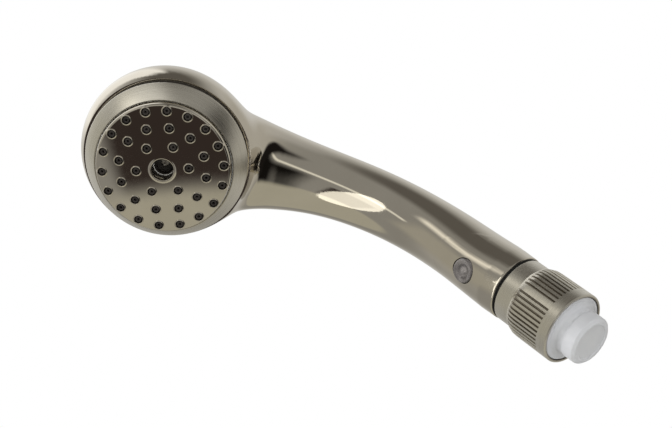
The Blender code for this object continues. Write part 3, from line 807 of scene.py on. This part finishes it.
def polished_nickel():
    finish = Finish("polished_nickel", (0.68, 0.64, 0.57), 0.06, 1.0)
    finish.ramp(finish.noise(45.0), (0.66, 0.62, 0.55), (0.71, 0.67, 0.60), "Base Color")
    finish.ramp(finish.noise(600.0, 5.0), 0.045, 0.085, "Roughness")
    finish.bump(finish.noise(140.0, 1.0), 0.05, 0.0001)
    return finish.material


def satin_nickel():
    finish = Finish("satin_nickel", (0.60, 0.57, 0.50), 0.30, 1.0, Anisotropic=0.45)
    marks = finish.noise(1.0, 4.0, finish.turned(1.2, 9000.0))
    finish.ramp(marks, 0.24, 0.36, "Roughness")
    colour = finish.ramp(finish.noise(1.0, 3.0, finish.turned(2.0, 2500.0)), (0.69, 0.665, 0.60),
                         (0.78, 0.755, 0.69), "Base Color")
    # Painted shade: a dark brown base colour on the flute floors and the collar's inner walls, standing in
    # for the shade in those grooves and hollows.
    finish.painted_shade(colour, finish.clear_of_painted_shade(), (0.29, 0.26, 0.225), "Base Color")
    finish.bump(marks, 0.10, 0.0001)
    return finish.material


def stainless():
    finish = Finish("stainless", (0.55, 0.54, 0.52), 0.25, 1.0)
    finish.ramp(finish.noise(900.0), 0.2, 0.34, "Roughness")
    return finish.material


def brass():
    finish = Finish("brass", (0.75, 0.56, 0.27), 0.25, 1.0)
    marks = finish.noise(1.0, 3.0, finish.turned(1.0, 6000.0))
    finish.ramp(marks, 0.2, 0.36, "Roughness")
    finish.bump(marks, 0.15, 0.0001)
    return finish.material


def black_rubber():
    finish = Finish("black_rubber", (0.02, 0.017, 0.015), 0.5)
    finish.ramp(finish.noise(700.0), 0.38, 0.6, "Roughness")
    finish.ramp(finish.noise(150.0), (0.016, 0.013, 0.012), (0.032, 0.027, 0.024), "Base Color")
    finish.bump(finish.noise(2500.0), 0.2, 0.0001)
    return finish.material


def moulded(name, low, high, roughness):
    """An opaque moulded plastic with a faint grain."""
    finish = Finish(name, low, roughness)
    finish.ramp(finish.noise(300.0), low, high, "Base Color")
    finish.ramp(finish.noise(1200.0), roughness - 0.06, roughness + 0.06, "Roughness")
    finish.bump(finish.noise(1800.0), 0.1, 0.0001)
    return finish.material


def smoke_plastic():
    finish = Finish("smoke_plastic", (0.30, 0.285, 0.27), 0.12, Coat_Weight=0.4)
    rings = finish.noise(1.0, 0.0, finish.turned(0.3, 600.0))
    finish.ramp(rings, (0.07, 0.064, 0.063), (0.19, 0.177, 0.172), "Base Color")
    finish.ramp(finish.noise(150.0), 0.09, 0.13, "Roughness")
    return finish.material


def milky_cap():
    finish = Finish("milky_cap", (0.48, 0.49, 0.52), 0.38, Subsurface_Weight=0.25, Subsurface_Scale=0.003)
    finish.set("Subsurface Radius", (1.0, 1.0, 1.0))
    finish.ramp(finish.noise(120.0), (0.485, 0.495, 0.525), (0.52, 0.53, 0.555), "Base Color")
    finish.ramp(finish.noise(900.0), 0.32, 0.46, "Roughness")
    finish.bump(finish.noise(1500.0), 0.08, 0.0001)
    return finish.material


def make_materials():
    """The finishes by slot name, in place of the plain ones that the frame came with."""
    for plain in list(bpy.data.materials):
        bpy.data.materials.remove(plain)
    makers = (polished_nickel, satin_nickel, stainless, brass, black_rubber, smoke_plastic, milky_cap)
    made = [maker() for maker in makers]
    made.append(moulded("black_plastic", (0.008, 0.008, 0.008), (0.016, 0.016, 0.015), 0.45))
    made.append(moulded("white_plastic", (0.72, 0.72, 0.70), (0.78, 0.78, 0.76), 0.42))
    return {material.name: material for material in made}


def finish_inner_pieces(materials):
    """Give every CAD node the material of its slot."""
    for part in frame["record"]["subparts"]:
        mesh = frame["nodes"][part["node"]].data
        mesh.materials.clear()
        mesh.materials.append(materials[part["material_slot"]])


# ---------------------------------------------------------------- studio

def camera_back():
    return CAMERA_RIGHT.cross(CAMERA_UP).normalized()


def make_camera(face):
    camera = bpy.data.objects.new("camera", bpy.data.cameras.new("camera"))
    bpy.context.scene.collection.objects.link(camera)
    back = camera_back()
    right = CAMERA_RIGHT.normalized()
    up = back.cross(right)
    turn = Matrix((right, up, back)).transposed().to_4x4()
    aim = Vector((*CAMERA_AIM, -CAMERA_DISTANCE)) * MM
    camera.matrix_world = Matrix.Translation(face.translation - turn.to_3x3() @ aim) @ turn
    camera.data.lens = CAMERA_LENS
    camera.data.sensor_width = 36.0
    camera.data.clip_start = 0.01
    bpy.context.scene.camera = camera


# What the polished metal mirrors, seen from the object with the main camera at azimuth 0 and
# elevation 0: azimuth, elevation, half width, half height and softness in degrees, and colour.
# A later patch covers an earlier one.
BASE_GREY = (0.31, 0.30, 0.275)
PATCHES = (
    (180.0, 15.0, 80.0, 35.0, 20.0, (0.66, 0.65, 0.62)),
    (110.0, 0.0, 35.0, 40.0, 15.0, (0.50, 0.48, 0.43)),
    (0.0, -75.0, 200.0, 27.0, 3.0, (0.46, 0.44, 0.36)),
    (0.0, 84.0, 200.0, 18.0, 10.0, (0.13, 0.12, 0.105)),
    (-90.0, 0.0, 35.0, 22.0, 10.0, (0.42, 0.40, 0.34)),
    (-143.0, 38.0, 25.0, 32.0, 8.0, (1.15, 1.14, 1.10)),
    (-66.0, 40.0, 22.0, 5.5, 7.0, (1.1, 1.05, 0.92)),
    (-11.0, -30.0, 20.0, 17.5, 3.0, (0.04, 0.03, 0.026)),
    (10.0, 4.0, 60.0, 2.5, 2.0, (0.95, 0.92, 0.81)),
    (50.0, -26.0, 22.0, 24.0, 8.0, (0.008, 0.007, 0.006)),
    (67.0, 0.0, 15.0, 34.0, 6.0, (0.012, 0.010, 0.009)),
)


def make_world():
    """A soft studio all round: pale for the camera, and a few broad patches for the metal to mirror."""
    world = bpy.data.worlds.new("studio")
    bpy.context.scene.world = world
    world.use_nodes = True
    tree = world.node_tree
    ground = tree.nodes["Background"]

    def math_node(operation, first, second=None):
        made = tree.nodes.new("ShaderNodeMath")
        made.operation = operation
        for socket, value in zip(made.inputs, (first, second)):
            if isinstance(value, float):
                socket.default_value = value
            elif value is not None:
                tree.links.new(value, socket)
        return made.outputs[0]

    def along(axis):
        made = tree.nodes.new("ShaderNodeVectorMath")
        made.operation = "DOT_PRODUCT"
        made.inputs[1].default_value = axis
        tree.links.new(direction, made.inputs[0])
        return made.outputs["Value"]

    def within(angle, centre, half, soft, full_turn):
        gap = math_node("SUBTRACT", angle, math.radians(centre))
        if full_turn:
            gap = math_node("WRAP", gap, math.pi)
            gap.node.inputs[2].default_value = -math.pi
        gap = math_node("ABSOLUTE", gap)
        spread = tree.nodes.new("ShaderNodeMapRange")
        spread.interpolation_type = "SMOOTHSTEP"
        spread.inputs["From Min"].default_value = math.radians(half + soft)
        spread.inputs["From Max"].default_value = math.radians(half - soft)
        tree.links.new(gap, spread.inputs["Value"])
        return spread.outputs["Result"]

    direction = tree.nodes.new("ShaderNodeTexCoord").outputs["Generated"]
    back = camera_back()
    right = CAMERA_RIGHT.normalized()
    azimuth = math_node("ARCTAN2", along(right), along(back))
    elevation = math_node("ARCSINE", along(back.cross(right)))
    colour = None
    for place, height, width, tall, soft, tone in PATCHES:
        mix = tree.nodes.new("ShaderNodeMix")
        mix.data_type = "RGBA"
        share = math_node("MULTIPLY", within(azimuth, place, width, soft, True),
                          within(elevation, height, tall, soft, False))
        tree.links.new(share, mix.inputs["Factor"])
        if colour is None:
            mix.inputs["A"].default_value = (*BASE_GREY, 1.0)
        else:
            tree.links.new(colour, mix.inputs["A"])
        mix.inputs["B"].default_value = (*tone, 1.0)
        colour = mix.outputs["Result"]
    seen = tree.nodes.new("ShaderNodeLightPath").outputs["Is Camera Ray"]
    final = tree.nodes.new("ShaderNodeMix")
    final.data_type = "RGBA"
    tree.links.new(seen, final.inputs["Factor"])
    tree.links.new(colour, final.inputs["A"])
    final.inputs["B"].default_value = (1.0, 1.0, 1.0, 1.0)
    tree.links.new(final.outputs["Result"], ground.inputs["Color"])


def make_light(name, place, target, size, power):
    """A soft oval light of this width and height, upright in the camera's view."""
    light = bpy.data.lights.new(name, "AREA")
    light.shape = "ELLIPSE"
    light.size, light.size_y = size
    light.energy = power
    thing = bpy.data.objects.new(name, light)
    bpy.context.scene.collection.objects.link(thing)
    away = (Vector(place) - Vector(target)).normalized()
    across = CAMERA_UP.cross(away).normalized()
    turn = Matrix((across, away.cross(across), away)).transposed().to_4x4()
    thing.matrix_world = Matrix.Translation(place) @ turn
    thing.visible_camera = False
    thing.visible_glossy = False
    return thing


def make_mirrored_light(name, thing, place, target, size, power, colour):
    """A light that one metal piece mirrors, and nothing else."""
    light = make_light(name, place, target, size, power)
    light.data.color = colour
    light.visible_glossy = True
    lit = bpy.data.collections.new(name + "_lit")
    lit.objects.link(thing)
    light.light_linking.receiver_collection = lit


def make_floor():
    mesh = lathe("floor", [(0.0, 0.0), (4000.0, 0.0), (4000.0, -20.0), (0.0, -20.0)], 96, closed=False)
    floor = bpy.data.objects.new("floor", mesh)
    bpy.context.scene.collection.objects.link(floor)
    floor.location.z = FLOOR_HEIGHT
    finish = Finish("floor_paint", (0.86, 0.86, 0.85), 0.9)
    finish.ramp(finish.noise(3.0), (0.84, 0.84, 0.83), (0.88, 0.88, 0.87), "Base Color")
    mesh.materials.append(finish.material)
    floor.visible_glossy = False


def main():
    bpy.context.scene.view_settings.view_transform = "Standard"
    face = frame_of_ring("bezel_ring", BEZEL_FRONT)
    button = frame_of_button()
    make_camera(face)
    materials = make_materials()
    finish_inner_pieces(materials)
    shell = make_handset_body(face, button, materials["polished_nickel"])
    make_spray_plate(face, materials["polished_nickel"])
    make_nozzles(face, materials["black_rubber"])
    bezel = make_bezel(face, materials["satin_nickel"])
    make_face_seal(face, materials["black_rubber"])
    make_button(button, materials["smoke_plastic"])
    make_washer(materials["black_plastic"])
    make_collar(materials["satin_nickel"])
    make_nipple(materials["brass"])
    make_cap(materials["milky_cap"])
    make_world()
    make_light("key", (-0.9, -1.3, 0.9), (0.0, -0.05, 0.05), (1.2, 1.2), 30.0)
    make_light("fill", (1.3, -0.8, -0.2), (0.0, -0.05, 0.05), (1.0, 1.0), 12.0)
    make_mirrored_light("neck_light", shell, (-0.0060, -0.1332, 0.0183), (0.0014, -0.0469, 0.1017),
                        (0.065, 0.19), 0.033, (1.0, 0.97, 0.87))
    make_mirrored_light("bezel_light", bezel, (0.33, -0.45, 0.26), (0.0, -0.105, 0.126),
                        (0.5, 0.5), 0.31, (1.0, 0.98, 0.92))
    make_floor()


main()
